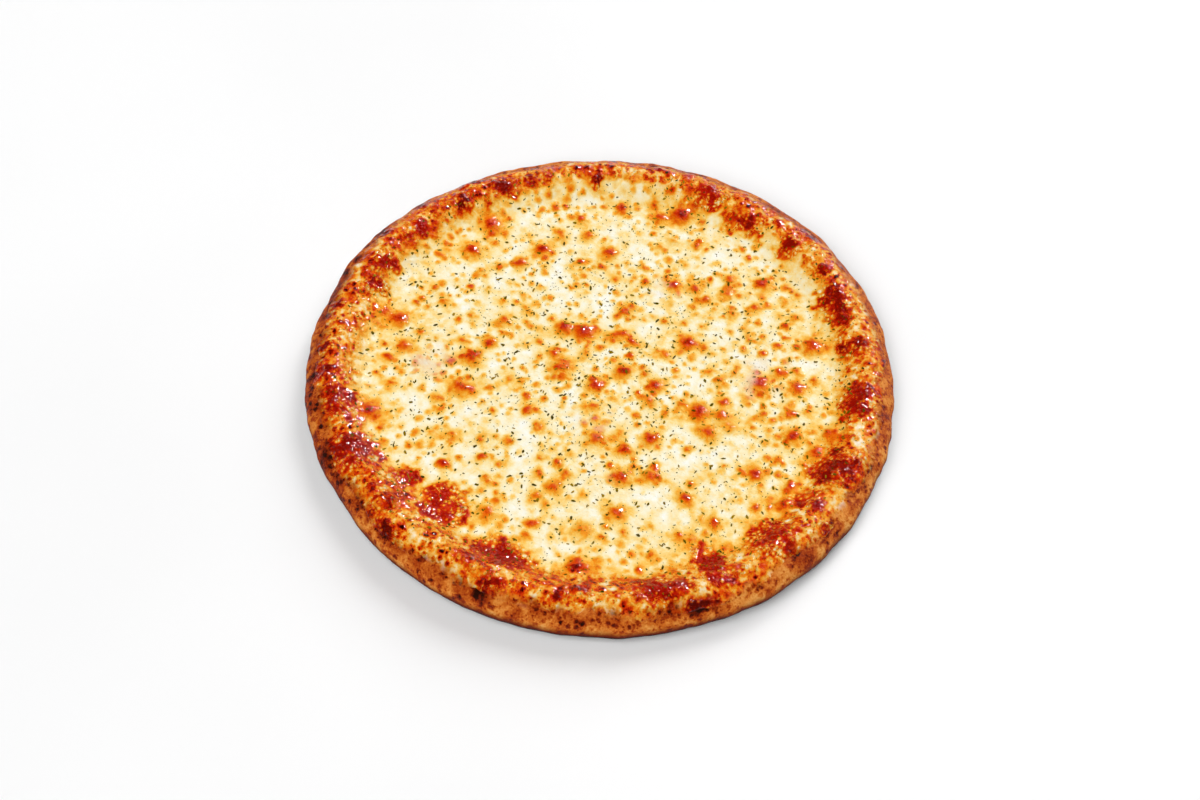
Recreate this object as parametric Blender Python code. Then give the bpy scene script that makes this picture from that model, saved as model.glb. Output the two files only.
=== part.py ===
"""A baked cheese pizza: a round dough crust with a raised rim, and a layer of melted cheese with browned
blisters and dried herb flakes. The origin is the middle of the flat underside, in metres, with +Z up."""

import math
import random

import bmesh
import bpy
import numpy as np
from mathutils import Matrix, Vector
from mathutils.geometry import delaunay_2d_cdt

# Driving dimensions
RADIUS = 0.1525
RIM_HEIGHT = 0.0180
DOUGH_THICKNESS = 0.0070
CHEESE_THICKNESS = 0.0040
FIT_GAP = 0.0004

# The outline's waves: how many go round, their height as a share of the radius, and the angle they start at
OUTLINE_WAVES = ((1, 0.00707, 0.602), (3, 0.0070, 2.03), (4, 0.0019, -2.72), (6, 0.0013, 1.76), (7, 0.0012, -2.0))
OUTLINE_LUMP = 0.0006

# The rim's section, measured inwards from the outer edge
CROWN_INSET = 0.0140
SLOPE_WIDTH = 0.0210
EQUATOR_HEIGHT = 0.0080
BASE_INSET = 0.0095
CROWN_WAVE = 0.0013
CROWN_LUMP = 0.0010
SIDE_LUMP = 0.0008

# The cheese's outer part
EDGE_INSET = 0.0050
EDGE_WANDER = 0.0026
EDGE_THICKNESS = 0.0010
EDGE_TAPER = 0.0060
RIM_CHEESE_THICKNESS = 0.0018

# The relief on the cheese, as a height and as the width of one lump
RIM_RELIEF = 0.0012
RIM_RELIEF_WIDTH = 0.0075
PATCH_RISE = 0.0010
MIDDLE_RELIEF = 0.0005
MIDDLE_RELIEF_WIDTH = 0.0240

# Mesh spacing
SEGMENTS = 120
LOWER_STEPS = 4
UPPER_STEPS = 5
SLOPE_STEPS = 4
EDGE_STEPS = 4
RIM_SPACING = 0.0053
MIDDLE_SPACING = 0.0098
ROW_RATIO = 0.87
BLISTER_SIDES = 6

# Blisters are scattered from a fixed seed, and only the larger of the small ones are modelled
BLISTER_SEED = 5
LARGE_BLISTERS = 50
LARGE_BLISTER_SIZES = (0.0045, 0.0070)
SMALL_BLISTERS = 250
SMALL_BLISTER_SIZES = (0.0015, 0.0036)
BLISTER_CLEARANCE = 0.8
BLISTER_REACH = 0.80
MODELLED_BLISTER = 0.0029
TWO_RING_BLISTER = 0.0039
BLISTER_RISE = 0.40

# The largest herb flakes
FLAKE_SEED = 11
FLAKES = 110
FLAKE_LENGTHS = (0.0024, 0.0036)
FLAKE_WIDTHS = (0.0010, 0.0016)
FLAKE_CURLS = (0.02, 0.10)
FLAKE_THICKNESS = 0.0007
FLAKE_SUNK = 0.00045
FLAKE_TIP = 0.55
FLAKE_REACH = 0.84
FLAKE_SPACING = 0.0085

# The main browned patches on the rim, chosen by eye: angle in degrees, share of the radius, then half length
# along the radius and half width across it in mm
MAIN_PATCHES = (
    (354, 0.87, 10, 13), (9, 0.89, 9, 5), (23, 0.87, 8, 12), (42, 0.88, 6, 6), (54, 0.86, 5, 7), (66, 0.88, 7, 9),
    (115, 0.88, 6, 7), (126, 0.89, 6, 7), (139, 0.88, 6, 7), (152, 0.88, 5, 7), (184, 0.93, 8, 6), (193, 0.88, 8, 11),
    (206, 0.89, 13, 12), (216, 0.77, 7, 7), (221, 0.88, 9, 5), (229, 0.75, 13, 14), (249, 0.79, 10, 16),
    (250, 0.93, 8, 5), (285, 0.88, 8, 13), (291, 0.97, 4, 8), (297, 0.84, 14, 7), (312, 0.86, 12, 13),
    (325, 0.86, 9, 6), (335, 0.85, 13, 10),
)

# Smaller patches are scattered round the rim between them
PATCH_SEED = 3
SMALL_PATCHES = 36
PATCH_WANDER = 0.45
SMALL_PATCH_SHARES = (0.84, 0.97)
SMALL_PATCH_LENGTHS = (3.0, 5.5)
SMALL_PATCH_WIDTHS = (3.0, 6.5)

CRUST_COLOUR = (0.62, 0.30, 0.10)
CHEESE_COLOUR = (0.90, 0.68, 0.36)


def lattice(i, j, seed):
    """A repeatable number from -1 to 1 for each whole-numbered grid point."""
    mixed = (i * 374761393 + j * 668265263 + seed * 974634777) & 0xFFFFFFFF
    mixed = ((mixed ^ (mixed >> 13)) * 1274126177) & 0xFFFFFFFF
    return ((mixed ^ (mixed >> 16)) & 0xFFFF) / 32767.5 - 1.0


def noise(x, y, size, seed):
    """Smooth noise from -1 to 1, with lumps about size across."""
    x, y = np.asarray(x, float) / size, np.asarray(y, float) / size
    i, j = np.floor(x).astype(np.int64), np.floor(y).astype(np.int64)
    u, v = x - i, y - j
    u, v = u * u * (3 - 2 * u), v * v * (3 - 2 * v)
    low = lattice(i, j, seed) * (1 - u) + lattice(i + 1, j, seed) * u
    high = lattice(i, j + 1, seed) * (1 - u) + lattice(i + 1, j + 1, seed) * u
    return low * (1 - v) + high * v


def around(angle, size, seed):
    """The same noise along a circle of the pizza's radius, so that it meets itself."""
    return noise(RADIUS * np.cos(angle), RADIUS * np.sin(angle), size, seed)


def smooth(low, high, x):
    """0 below low, 1 above high, and a smooth step between them."""
    t = np.clip((x - low) / (high - low), 0, 1)
    return t * t * (3 - 2 * t)


def outer_radius(angle):
    """The hand-stretched outline: nearly a circle, with a few broad waves and small lumps."""
    waves = sum(height * np.cos(count * angle - start) for count, height, start in OUTLINE_WAVES)
    return RADIUS * (1 + waves) + OUTLINE_LUMP * around(angle, 0.014, 1)


def crown_height(angle):
    return RIM_HEIGHT + CROWN_WAVE * around(angle, 0.060, 2) + CROWN_LUMP * around(angle, 0.018, 3)


def dough_height(x, y):
    """Height of the dough's upper side: a flat middle, a slope up to the crown, and a rounded outer side."""
    r, angle = np.hypot(x, y), np.arctan2(y, x)
    crown, top = outer_radius(angle) - CROWN_INSET, crown_height(angle)
    outward = np.clip((r - crown) / CROWN_INSET, 0, 1)
    outside = EQUATOR_HEIGHT + (top - EQUATOR_HEIGHT) * np.sqrt(1 - outward**2)
    rise = np.clip((r - crown + SLOPE_WIDTH) / SLOPE_WIDTH, 0, 1)
    inside = DOUGH_THICKNESS + (top - DOUGH_THICKNESS) * (1 - np.cos(math.pi * rise)) / 2
    return np.where(r > crown, outside, inside)


def cheese_edge(angle):
    """Radius where the cheese ends on the rim's outer side."""
    wander = 0.7 * around(angle, 0.017, 4) + 0.3 * around(angle, 0.008, 5)
    return outer_radius(angle) - EDGE_INSET - EDGE_WANDER * wander


def scatter_blisters():
    """Every blister as x, y and radius in metres: the large ones, then small ones, clear of each other."""
    draw = random.Random(BLISTER_SEED)
    found = []
    for amount, sizes in ((LARGE_BLISTERS, LARGE_BLISTER_SIZES), (SMALL_BLISTERS, SMALL_BLISTER_SIZES)):
        wanted = len(found) + amount
        while len(found) < wanted:
            r, angle = BLISTER_REACH * RADIUS * math.sqrt(draw.random()), draw.uniform(0, 2 * math.pi)
            x, y, size = r * math.cos(angle), r * math.sin(angle), draw.uniform(*sizes)
            if all(math.hypot(x - a, y - b) > BLISTER_CLEARANCE * (size + c) for a, b, c in found):
                found.append((x, y, size))
    return found


def rim_patches():
    """Every browned patch in the measures of the main ones: those, then the small ones."""
    draw = random.Random(PATCH_SEED)
    patches = list(MAIN_PATCHES)
    for k in range(SMALL_PATCHES):
        degrees = 360 * (k + draw.uniform(-PATCH_WANDER, PATCH_WANDER)) / SMALL_PATCHES
        share, length = draw.uniform(*SMALL_PATCH_SHARES), draw.uniform(*SMALL_PATCH_LENGTHS)
        patches.append((degrees, share, length, draw.uniform(*SMALL_PATCH_WIDTHS)))
    return patches


def patch_field(x, y):
    """0 to 1: how deep in a browned rim patch each point lies."""
    field = np.zeros_like(np.asarray(x, float))
    for degrees, share, length, width in rim_patches():
        angle = math.radians(degrees)
        along = x * math.cos(angle) + y * math.sin(angle) - share * RADIUS
        across = y * math.cos(angle) - x * math.sin(angle)
        reach = np.hypot(along / (length / 1000), across / (width / 1000))
        field = np.maximum(field, 1 - smooth(0.3, 1.15, reach))
    return field


def cheese_height(x, y, blisters):
    """Height of the cheese's upper side: pooled in the middle, thin on the rim, with lumps and blisters."""
    r, angle = np.hypot(x, y), np.arctan2(y, x)
    edge = cheese_edge(angle)
    crown = outer_radius(angle) - CROWN_INSET
    on_rim = smooth(crown - SLOPE_WIDTH, crown, r)
    thick = CHEESE_THICKNESS + (RIM_CHEESE_THICKNESS - CHEESE_THICKNESS) * on_rim
    relief = MIDDLE_RELIEF * noise(x, y, MIDDLE_RELIEF_WIDTH, 6) * (1 - on_rim)
    relief = relief + on_rim * RIM_RELIEF * noise(x, y, RIM_RELIEF_WIDTH, 7)
    relief = relief + on_rim * PATCH_RISE * patch_field(x, y)
    for bx, by, size in blisters:
        if size >= MODELLED_BLISTER:
            near = np.clip(1 - ((x - bx) ** 2 + (y - by) ** 2) / size**2, 0, 1)
            relief = relief + BLISTER_RISE * size * near
    inside = smooth(0, EDGE_TAPER, edge - r)
    return dough_height(x, y) + FIT_GAP + EDGE_THICKNESS + (thick - EDGE_THICKNESS + relief) * inside


def finish_object(name, bm, colour, roughness):
    """Makes the named object from a mesh, with outward normals and its own material."""
    bmesh.ops.recalc_face_normals(bm, faces=bm.faces)
    mesh = bpy.data.meshes.new(name)
    bm.to_mesh(mesh)
    bm.free()
    mesh.shade_smooth()
    mesh.set_sharp_from_angle(angle=math.radians(50))
    material = bpy.data.materials.new(name)
    material.use_nodes = True
    shader = material.node_tree.nodes["Principled BSDF"]
    shader.inputs["Base Color"].default_value = (*colour, 1)
    shader.inputs["Roughness"].default_value = roughness
    shader.inputs["Metallic"].default_value = 0
    mesh.materials.append(material)
    made = bpy.data.objects.new(name, mesh)
    bpy.context.scene.collection.objects.link(made)
    return made


def bridge(bm, rings):
    """Joins each ring of vertices to the next with quads."""
    for low, high in zip(rings, rings[1:]):
        for k in range(len(low)):
            after = (k + 1) % len(low)
            bm.faces.new((low[k], low[after], high[after], high[k]))


def ring(bm, angles, radii, heights):
    points = zip(radii * np.cos(angles), radii * np.sin(angles), heights)
    return [bm.verts.new(point) for point in points]


def close_with_fan(bm, rim, height):
    middle = bm.verts.new((0, 0, height))
    for k in range(len(rim)):
        bm.faces.new((rim[k], rim[(k + 1) % len(rim)], middle))


def build_crust():
    """One closed loaf: flat underside, rounded side, crown, inner slope and flat middle."""
    bm = bmesh.new()
    angles = np.arange(SEGMENTS) * 2 * math.pi / SEGMENTS
    outer = outer_radius(angles)
    crown, top = outer - CROWN_INSET, crown_height(angles)
    rings = [ring(bm, angles, share * outer, 0 * angles) for share in (0.45, 0.80)]
    for k in range(LOWER_STEPS):
        turn = math.pi / 2 * k / LOWER_STEPS
        lump = SIDE_LUMP * math.sin(2 * turn) * noise(outer * angles, 0.01 * k, 0.013, 8)
        radii = outer - BASE_INSET * (1 - math.sin(turn)) + lump
        rings.append(ring(bm, angles, radii, EQUATOR_HEIGHT * (1 - math.cos(turn)) + 0 * angles))
    for k in range(UPPER_STEPS):
        turn = math.pi / 2 * k / UPPER_STEPS
        radii = crown + CROWN_INSET * math.cos(turn)
        rings.append(ring(bm, angles, radii, EQUATOR_HEIGHT + (top - EQUATOR_HEIGHT) * math.sin(turn)))
    for k in range(SLOPE_STEPS + 1):
        radii = crown - SLOPE_WIDTH * k / SLOPE_STEPS
        heights = dough_height(radii * np.cos(angles), radii * np.sin(angles))
        rings.append(ring(bm, angles, radii, heights))
    bridge(bm, rings)
    close_with_fan(bm, rings[0], 0)
    close_with_fan(bm, rings[-1], DOUGH_THICKNESS)
    return finish_object("crust", bm, CRUST_COLOUR, 0.75)


def blister_points(blisters):
    """A centre and one or two rings for each modelled blister."""
    points = []
    for bx, by, size in blisters:
        if size < MODELLED_BLISTER:
            continue
        points.append((bx, by))
        for share in (0.62, 1.02) if size > TWO_RING_BLISTER else (0.98,):
            for k in range(BLISTER_SIDES):
                turn = 2 * math.pi * (k + 0.5 * (share < 0.9)) / BLISTER_SIDES
                points.append((bx + share * size * math.cos(turn), by + share * size * math.sin(turn)))
    return points


def top_points(edge_loop, blisters):
    """Plan positions of the cheese's upper vertices inside its edge: blisters first, then an even filling."""
    points = blister_points(blisters)
    draw = random.Random(BLISTER_SEED)
    taken = np.array(points + [tuple(p) for p in edge_loop])
    rows = int(2 * RADIUS / (RIM_SPACING * ROW_RATIO))
    rim_start = RADIUS - CROWN_INSET - SLOPE_WIDTH
    for spacing, low, high in ((RIM_SPACING, rim_start, RADIUS), (MIDDLE_SPACING, 0, rim_start)):
        for j in range(-rows, rows + 1):
            for i in range(-rows, rows + 1):
                x = spacing * (i + 0.5 * (j % 2)) + draw.uniform(-0.1, 0.1) * spacing
                y = spacing * ROW_RATIO * j + draw.uniform(-0.1, 0.1) * spacing
                r = math.hypot(x, y)
                if not low <= r < high or r > cheese_edge(math.atan2(y, x)) - 0.6 * spacing:
                    continue
                if np.hypot(taken[:, 0] - x, taken[:, 1] - y).min() > 0.55 * spacing:
                    points.append((x, y))
    return points


def build_cheese(blisters):
    """The melted layer: a blistered top, an underside that follows the dough, and a low wall at its edge."""
    bm = bmesh.new()
    angles = np.arange(SEGMENTS) * 2 * math.pi / SEGMENTS
    edge = cheese_edge(angles)
    loop = np.stack([edge * np.cos(angles), edge * np.sin(angles)], axis=1)
    plan = [Vector(p) for p in loop] + [Vector(p) for p in top_points(loop, blisters)]
    found, _, faces, *_ = delaunay_2d_cdt(plan, [], [list(range(SEGMENTS))], 1, 1e-7)
    xy = np.array(found)
    heights = cheese_height(xy[:, 0], xy[:, 1], blisters)
    top = [bm.verts.new((x, y, z)) for (x, y), z in zip(xy, heights)]
    for face in faces:
        bm.faces.new([top[k] for k in face])
    crown = outer_radius(angles) - CROWN_INSET
    radii = [edge + (crown - edge) * step / EDGE_STEPS for step in range(EDGE_STEPS)]
    radii += [crown - SLOPE_WIDTH * step / SLOPE_STEPS for step in range(SLOPE_STEPS + 1)]
    rings = [top[:SEGMENTS]]
    for radius in radii:
        below = dough_height(radius * np.cos(angles), radius * np.sin(angles)) + FIT_GAP
        rings.append(ring(bm, angles, radius, below))
    bridge(bm, rings)
    close_with_fan(bm, rings[-1], DOUGH_THICKNESS + FIT_GAP)
    return finish_object("cheese", bm, CHEESE_COLOUR, 0.4)


def add_flake(collection, spot, heading, length, width, curl):
    """One herb flake: a thin bent strip, its lower part sunk in the cheese."""
    bm = bmesh.new()
    sections = []
    for station in (-0.5, 0.0, 0.5):
        half = 0.5 * width * (1 if station == 0 else FLAKE_TIP)
        low = curl * (1 if station == 0 else -0.2) * length - FLAKE_SUNK
        high = low + FLAKE_THICKNESS
        corners = ((-half, low), (half, low), (half, high), (-half, high))
        sections.append([bm.verts.new((station * length, y, z)) for y, z in corners])
    bridge(bm, sections)
    bm.faces.new(sections[0])
    bm.faces.new(sections[-1])
    flake = finish_object("flake", bm, CHEESE_COLOUR, 0.6)
    flake.matrix_world = Matrix.Translation(spot) @ Matrix.Rotation(heading, 4, "Z")
    bpy.context.scene.collection.objects.unlink(flake)
    collection.objects.link(flake)


def scatter_flakes(collection, blisters):
    draw = random.Random(FLAKE_SEED)
    placed = []
    while len(placed) < FLAKES:
        r, angle = FLAKE_REACH * RADIUS * math.sqrt(draw.random()), draw.uniform(0, 2 * math.pi)
        x, y = r * math.cos(angle), r * math.sin(angle)
        if any(math.hypot(x - a, y - b) < FLAKE_SPACING for a, b in placed):
            continue
        placed.append((x, y))
        spot = (x, y, float(cheese_height(x, y, blisters)))
        size = draw.uniform(*FLAKE_LENGTHS), draw.uniform(*FLAKE_WIDTHS), draw.uniform(*FLAKE_CURLS)
        add_flake(collection, spot, draw.uniform(0, math.pi), *size)


def fuse_flakes(cheese, blisters):
    """Scatters the largest herb flakes over the cheese and joins them to it as one solid."""
    collection = bpy.data.collections.new("flakes")
    bpy.context.scene.collection.children.link(collection)
    scatter_flakes(collection, blisters)
    union = cheese.modifiers.new("flakes", "BOOLEAN")
    union.operation = "UNION"
    union.operand_type = "COLLECTION"
    union.collection = collection
    union.solver = "EXACT"
    bpy.context.view_layer.update()
    joined = cheese.evaluated_get(bpy.context.evaluated_depsgraph_get())
    mesh = bpy.data.meshes.new_from_object(joined)
    cheese.modifiers.clear()
    cheese.data = mesh
    mesh.name = "cheese"
    for flake in list(collection.objects):
        bpy.data.objects.remove(flake)
    bpy.data.collections.remove(collection)


def build():
    for old in list(bpy.data.objects):
        bpy.data.objects.remove(old)
    blisters = scatter_blisters()
    build_crust()
    fuse_flakes(build_cheese(blisters), blisters)


build()
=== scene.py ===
"""The look of a baked cheese pizza: browned melted cheese, a dough crust and scattered dried herb flakes."""

import math
import random

import bpy
import numpy as np
from mathutils import Matrix, Vector


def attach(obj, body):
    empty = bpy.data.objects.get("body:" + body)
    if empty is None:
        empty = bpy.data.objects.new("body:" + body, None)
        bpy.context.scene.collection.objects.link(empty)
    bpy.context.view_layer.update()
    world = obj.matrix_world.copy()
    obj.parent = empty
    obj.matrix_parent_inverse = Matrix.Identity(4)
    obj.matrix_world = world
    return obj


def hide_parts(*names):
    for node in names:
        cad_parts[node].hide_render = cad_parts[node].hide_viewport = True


# Dimensions shared with the solids, in metres but for the patches, which are in millimetres
RADIUS = 0.1525
RIM_HEIGHT = 0.0180
DOUGH_THICKNESS = 0.0070
CHEESE_THICKNESS = 0.0040
FIT_GAP = 0.0004
OUTLINE_WAVES = (
    (1, 0.00707, 0.602), (3, 0.0070, 2.03), (4, 0.0019, -2.72), (6, 0.0013, 1.76), (7, 0.0012, -2.0),
)
OUTLINE_LUMP = 0.0006
CROWN_INSET = 0.0140
SLOPE_WIDTH = 0.0210
EQUATOR_HEIGHT = 0.0080
BASE_INSET = 0.0095
CROWN_WAVE = 0.0013
CROWN_LUMP = 0.0010
EDGE_INSET = 0.0050
EDGE_WANDER = 0.0026
RIM_CHEESE_THICKNESS = 0.0018
BLISTER_SEED = 5
LARGE_BLISTERS = 50
LARGE_BLISTER_SIZES = (0.0045, 0.0070)
SMALL_BLISTERS = 250
SMALL_BLISTER_SIZES = (0.0015, 0.0036)
BLISTER_CLEARANCE = 0.8
BLISTER_REACH = 0.80
PATCH_SEED = 3
SMALL_PATCHES = 36
PATCH_WANDER = 0.45
SMALL_PATCH_SHARES = (0.84, 0.97)
SMALL_PATCH_LENGTHS = (3.0, 5.5)
SMALL_PATCH_WIDTHS = (3.0, 6.5)
FLAKE_SEED = 11
LARGE_FLAKES = 110
FLAKE_LENGTHS = (0.0024, 0.0036)
FLAKE_WIDTHS = (0.0010, 0.0016)
FLAKE_CURLS = (0.02, 0.10)
FLAKE_REACH = 0.84
FLAKE_SPACING = 0.0085

# The finer detail: the cheese's lacy edge, the tallest that it may be, and the rise of its blisters
EDGE_LACE = 0.0011
TALLEST = 0.0226
CAP_SOFTNESS = 0.0004
BLISTER_RISE = 0.36

# How far the outlines of patches and blisters are pushed about, and by waves how large: broad, then fine
PATCH_PUSHES = (0.0034, 0.0016)
PATCH_PUSH_SIZES = (0.009, 0.0032)
BLISTER_PUSHES = (0.0012, 0.0006)
BLISTER_PUSH_SIZES = (0.006, 0.0018)

# The small herb flakes and the dust
SMALL_FLAKES = 1350
SMALL_FLAKE_LENGTHS = (0.0011, 0.0027)
SMALL_FLAKE_REACH = 0.90
HERB_DUST = 3400
HERB_DUST_LENGTHS = (0.0005, 0.0011)
HERB_DUST_REACH = 0.93
FLAKE_WIDTH_SHARES = (0.30, 0.65)
FLAKE_CROWDING = 0.56
FLAKE_SLOPE_STEP = 0.0008
FLAKE_ROLL = 0.35
FLAKE_PITCH = 0.25
FLAKE_BENDS = (-0.25, 0.35)
THINNEST_FLAKE = 0.00012
FLAKE_THICKNESS_SHARE = 0.06

# The cheese's mesh, its lip, where it thins down onto the dough, and its closed lower side inside the dough
RINGS_INSIDE = 95
RINGS_ON_RIM = 56
RIM_START = 0.74 * RADIUS
EDGE_RINGS = (0.0016, 0.0010, 0.0006, 0.0003, 0.0001, 0.0)
LIP_WIDTH = 0.0020
LIP_SLOPE_WIDTH = 0.010
LIP_THICKNESS_SHARE = 0.22
LIP_SINK = 0.0008
LOWER_SIDE_REACH = 0.7
LOWER_SIDE_HEIGHT = 0.4 * DOUGH_THICKNESS

# The crust's mesh, then the lumps of its side: their height, their size and a seed
CRUST_SEGMENTS = 760
CRUST_SIDE_STEPS = 34
UNDERSIDE_SHARES = (0.3, 0.6, 0.8, 0.9)
SLOPE_SHARES = (0.25, 0.5, 0.75, 1.0)
DOUGH_LUMPS = ((0.0006, 0.012, 71), (0.0003, 0.0045, 73), (0.00014, 0.0018, 75))
DOUGH_SETBACK = 0.0002

# The foot of the side darkens between these two distances from the origin, partly scorched dough and partly
# painted contact shade
FOOT_START = 0.1320
FOOT_FULL = 0.1400

# The camera, which looks down from the near side
CAMERA_ELEVATION = math.radians(53.5)
CAMERA_DISTANCE = 1.12
CAMERA_ROLL = math.radians(2.8)
CAMERA_TARGET = (0.0005, -0.0125, 0.008)
CAMERA_LENS = 65.3

# The lights: where they come from, their spread in degrees and their power
BEHIND = (0.60, 1.05, 0.78)
IN_FRONT = (-0.5, -0.9, 1.5)
KEY_SPREAD, KEY_POWER = 39, 1.85
GLEAM_SPREAD, GLEAM_POWER = 12, 4.2
FILL_SPREAD, FILL_POWER = 58, 2.40
SURROUNDINGS_LIGHT = 0.08
FLOOR_HALF_SIDE = 4.0
FLOOR_DROP = 0.0002

# Blisters of middling size between the large ones
MEDIUM_BLISTERS = 46
MEDIUM_BLISTER_SIZES = (0.0030, 0.0045)

# How deep each size is browned, from 0 to 1, and the share of the large ones that is browned the deepest
DEEPEST_BROWNING = (0.82, 1.0)
LARGE_BROWNING = (0.58, 0.82)
MEDIUM_BROWNING = (0.42, 0.74)
SMALL_BROWNING = (0.25, 0.70)
DEEPEST_SHARE = 0.46

# The main browned patches on the rim: angle in degrees, share of the radius, half length along
# the radius and half width across it in mm, then how dark and how red from 0 to 1
MAIN_PATCHES = (
    (354, 0.87, 10, 13, 0.75, 0.8), (9, 0.89, 9, 5, 0.7, 0.5), (23, 0.87, 8, 12, 1.0, 0.6),
    (42, 0.88, 6, 6, 0.75, 0.6), (54, 0.86, 5, 7, 0.85, 0.5), (66, 0.88, 7, 9, 0.8, 1.0),
    (115, 0.88, 6, 7, 0.75, 0.5), (126, 0.89, 6, 7, 0.95, 0.3), (139, 0.88, 6, 7, 0.85, 1.0),
    (152, 0.88, 5, 7, 0.9, 0.8), (184, 0.93, 8, 6, 0.9, 0.4), (193, 0.88, 8, 11, 0.75, 0.8),
    (206, 0.89, 13, 12, 0.85, 0.7), (216, 0.77, 7, 7, 0.85, 1.0), (221, 0.88, 9, 5, 0.95, 0.3),
    (229, 0.75, 13, 14, 0.75, 0.9), (249, 0.79, 10, 16, 0.8, 0.8), (250, 0.93, 8, 5, 0.95, 0.3),
    (285, 0.88, 8, 13, 0.8, 0.9), (291, 0.97, 4, 8, 1.0, 0.3), (297, 0.84, 14, 7, 0.8, 0.9),
    (312, 0.86, 12, 13, 0.8, 0.85), (325, 0.86, 9, 6, 0.75, 0.6), (335, 0.85, 13, 10, 0.9, 0.6),
)
SMALL_PATCH_DARKNESS = (0.40, 0.90)
SMALL_PATCH_REDNESS = (0.2, 0.7)

# Where the cheese lies thin over the sauce: x and y as shares of the radius, and a radius in mm
THIN_SPOTS = ((0.00, -0.17, 14), (0.56, 0.03, 20), (-0.58, 0.04, 14), (0.02, -0.42, 9), (0.22, 0.40, 10))


def srgb(red, green, blue):
    """A screen colour from 0 to 255 as the linear colour that a shader takes."""
    shares = [value / 255 for value in (red, green, blue)]
    return tuple(s / 12.92 if s <= 0.04045 else ((s + 0.055) / 1.055) ** 2.4 for s in shares) + (1.0,)


def lattice(i, j, seed):
    """A repeatable number from -1 to 1 for each whole-numbered grid point."""
    mixed = (i * 374761393 + j * 668265263 + seed * 974634777) & 0xFFFFFFFF
    mixed = ((mixed ^ (mixed >> 13)) * 1274126177) & 0xFFFFFFFF
    return ((mixed ^ (mixed >> 16)) & 0xFFFF) / 32767.5 - 1.0


def noise(x, y, size, seed):
    """Smooth noise from -1 to 1, with lumps about size across."""
    x, y = np.asarray(x, float) / size, np.asarray(y, float) / size
    i, j = np.floor(x).astype(np.int64), np.floor(y).astype(np.int64)
    u, v = x - i, y - j
    u, v = u * u * (3 - 2 * u), v * v * (3 - 2 * v)
    low = lattice(i, j, seed) * (1 - u) + lattice(i + 1, j, seed) * u
    high = lattice(i, j + 1, seed) * (1 - u) + lattice(i + 1, j + 1, seed) * u
    return low * (1 - v) + high * v


def noise3(x, y, z, size, seed):
    """The same noise in space, blended between flat layers."""
    level = np.asarray(z, float) / size
    low = np.floor(level).astype(np.int64)
    share = level - low
    share = share * share * (3 - 2 * share)
    below = noise(x + 0.31 * size * low, y - 0.47 * size * low, size, seed + 211 * low)
    above = noise(x + 0.31 * size * (low + 1), y - 0.47 * size * (low + 1), size, seed + 211 * (low + 1))
    return below * (1 - share) + above * share


def layered(x, y, size, seed, layers=3):
    """Noise with finer and weaker noise on it, from about -1 to 1."""
    total = sum(noise(x, y, size / 2.1**k, seed + 17 * k) / 2**k for k in range(layers))
    return total / sum(0.5**k for k in range(layers))


def ridged(x, y, size, seed):
    """Thin raised strands, 1 on a strand and falling to 0 beside it."""
    return 1 - np.minimum(1, 2.4 * np.abs(layered(x, y, size, seed, 2)))


def cells(x, y, size, seed):
    """Distance to the nearest of many scattered points, as a share of size, and that point's own number."""
    column, row = np.floor(x / size).astype(np.int64), np.floor(y / size).astype(np.int64)
    nearest, own = np.full(np.shape(x), 9.0), np.zeros(np.shape(x))
    for di in (-1, 0, 1):
        for dj in (-1, 0, 1):
            i, j = column + di, row + dj
            px = (i + 0.5 + 0.42 * lattice(i, j, seed)) * size
            py = (j + 0.5 + 0.42 * lattice(i, j, seed + 31)) * size
            distance = np.hypot(x - px, y - py) / size
            closer = distance < nearest
            nearest = np.where(closer, distance, nearest)
            own = np.where(closer, 0.5 + 0.5 * lattice(i, j, seed + 57), own)
    return nearest, own


def around(angle, size, seed):
    """Noise along a circle of the pizza's radius, so that it meets itself."""
    return noise(RADIUS * np.cos(angle), RADIUS * np.sin(angle), size, seed)


def smooth(low, high, x):
    """0 below low, 1 above high, and a smooth step between them."""
    t = np.clip((x - low) / (high - low), 0, 1)
    return t * t * (3 - 2 * t)


def outer_radius(angle):
    waves = sum(height * np.cos(count * angle - start) for count, height, start in OUTLINE_WAVES)
    return RADIUS * (1 + waves) + OUTLINE_LUMP * around(angle, 0.014, 1)


def crown_height(angle):
    return RIM_HEIGHT + CROWN_WAVE * around(angle, 0.060, 2) + CROWN_LUMP * around(angle, 0.018, 3)


def dough_height(x, y):
    """Height of the dough's upper side: a flat middle, a slope to the crown, and a rounded outer side."""
    r, angle = np.hypot(x, y), np.arctan2(y, x)
    crown, top = outer_radius(angle) - CROWN_INSET, crown_height(angle)
    outward = np.clip((r - crown) / CROWN_INSET, 0, 1)
    outside = EQUATOR_HEIGHT + (top - EQUATOR_HEIGHT) * np.sqrt(1 - outward**2)
    rise = np.clip((r - crown + SLOPE_WIDTH) / SLOPE_WIDTH, 0, 1)
    inside = DOUGH_THICKNESS + (top - DOUGH_THICKNESS) * (1 - np.cos(math.pi * rise)) / 2
    return np.where(r > crown, outside, inside)


def cheese_edge(angle):
    """Radius where the cheese ends on the rim's outer side."""
    wander = 0.7 * around(angle, 0.017, 4) + 0.3 * around(angle, 0.008, 5)
    return outer_radius(angle) - EDGE_INSET - EDGE_WANDER * wander


def lacy_edge(angle):
    """The same edge with its finer teeth."""
    teeth = 0.6 * around(angle, 0.0042, 12) + 0.4 * around(angle, 0.0019, 13)
    return cheese_edge(angle) + EDGE_LACE * teeth


def capped(z):
    """The height z, softly held below the tallest that the solids allow."""
    start = TALLEST - CAP_SOFTNESS
    return np.minimum(z, start + CAP_SOFTNESS * np.tanh((z - start) / CAP_SOFTNESS))


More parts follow.
